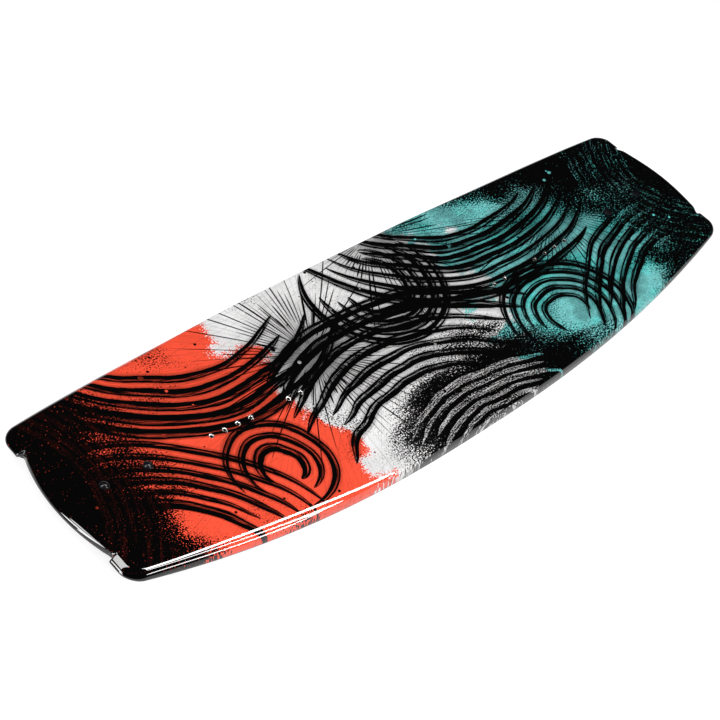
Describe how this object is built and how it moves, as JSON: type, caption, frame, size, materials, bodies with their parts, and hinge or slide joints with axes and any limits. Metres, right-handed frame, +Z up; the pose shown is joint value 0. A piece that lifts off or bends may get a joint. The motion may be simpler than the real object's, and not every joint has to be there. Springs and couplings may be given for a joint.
{
  "type": "wakeboard",
  "caption": "Twin-tip wakeboard without bindings: curved printed deck over a foam core, rows of threaded binding inserts and a bolt-on centre fin under each tip.",
  "frame": {"origin": "middle of the flat spot of the base, halfway between the tips and between the rails", "axes": "+X along the board towards the right tip, +Y across the deck to the far rail, +Z up out of the deck"},
  "size_m": [1.34, 0.402, 0.079],
  "materials": {
    "printed_top": "printed, clear gloss coat",
    "glass_laminate": "resin-rich glass fibre",
    "core_foam": "cut foam",
    "base_plastic": "gloss",
    "hard_block": "dense foam",
    "insert_steel": "turned",
    "fin_plastic": "moulded",
    "sleeve_plastic": "moulded",
    "nut_brass": "turned",
    "washer_plastic": "moulded",
    "screw_black": "black oxide, polished head"
  },
  "bodies": {
    "root": {"top_sheet": "printed_top", "top_glass": "glass_laminate", "foam_core": "core_foam", "bottom_glass": "glass_laminate", "base_sheet": "base_plastic", "insert_block_left": "hard_block", "insert_block_right": "hard_block", "insert_left_1": "insert_steel", "insert_left_2": "insert_steel", "insert_left_3": "insert_steel", "insert_left_4": "insert_steel", "insert_left_5": "insert_steel", "insert_left_6": "insert_steel", "insert_right_1": "insert_steel", "insert_right_2": "insert_steel", "insert_right_3": "insert_steel", "insert_right_4": "insert_steel", "insert_right_5": "insert_steel", "insert_right_6": "insert_steel", "fin_left": "fin_plastic", "fin_right": "fin_plastic", "fin_sleeve_left_in": "sleeve_plastic", "fin_sleeve_left_out": "sleeve_plastic", "fin_sleeve_right_in": "sleeve_plastic", "fin_sleeve_right_out": "sleeve_plastic", "fin_nut_left_in": "nut_brass", "fin_nut_left_out": "nut_brass", "fin_nut_right_in": "nut_brass", "fin_nut_right_out": "nut_brass", "fin_washer_left_in": "washer_plastic", "fin_washer_left_out": "washer_plastic", "fin_washer_right_in": "washer_plastic", "fin_washer_right_out": "washer_plastic", "fin_screw_left_in": "screw_black", "fin_screw_left_out": "screw_black", "fin_screw_right_in": "screw_black", "fin_screw_right_out": "screw_black"}
  },
  "joints": []
}
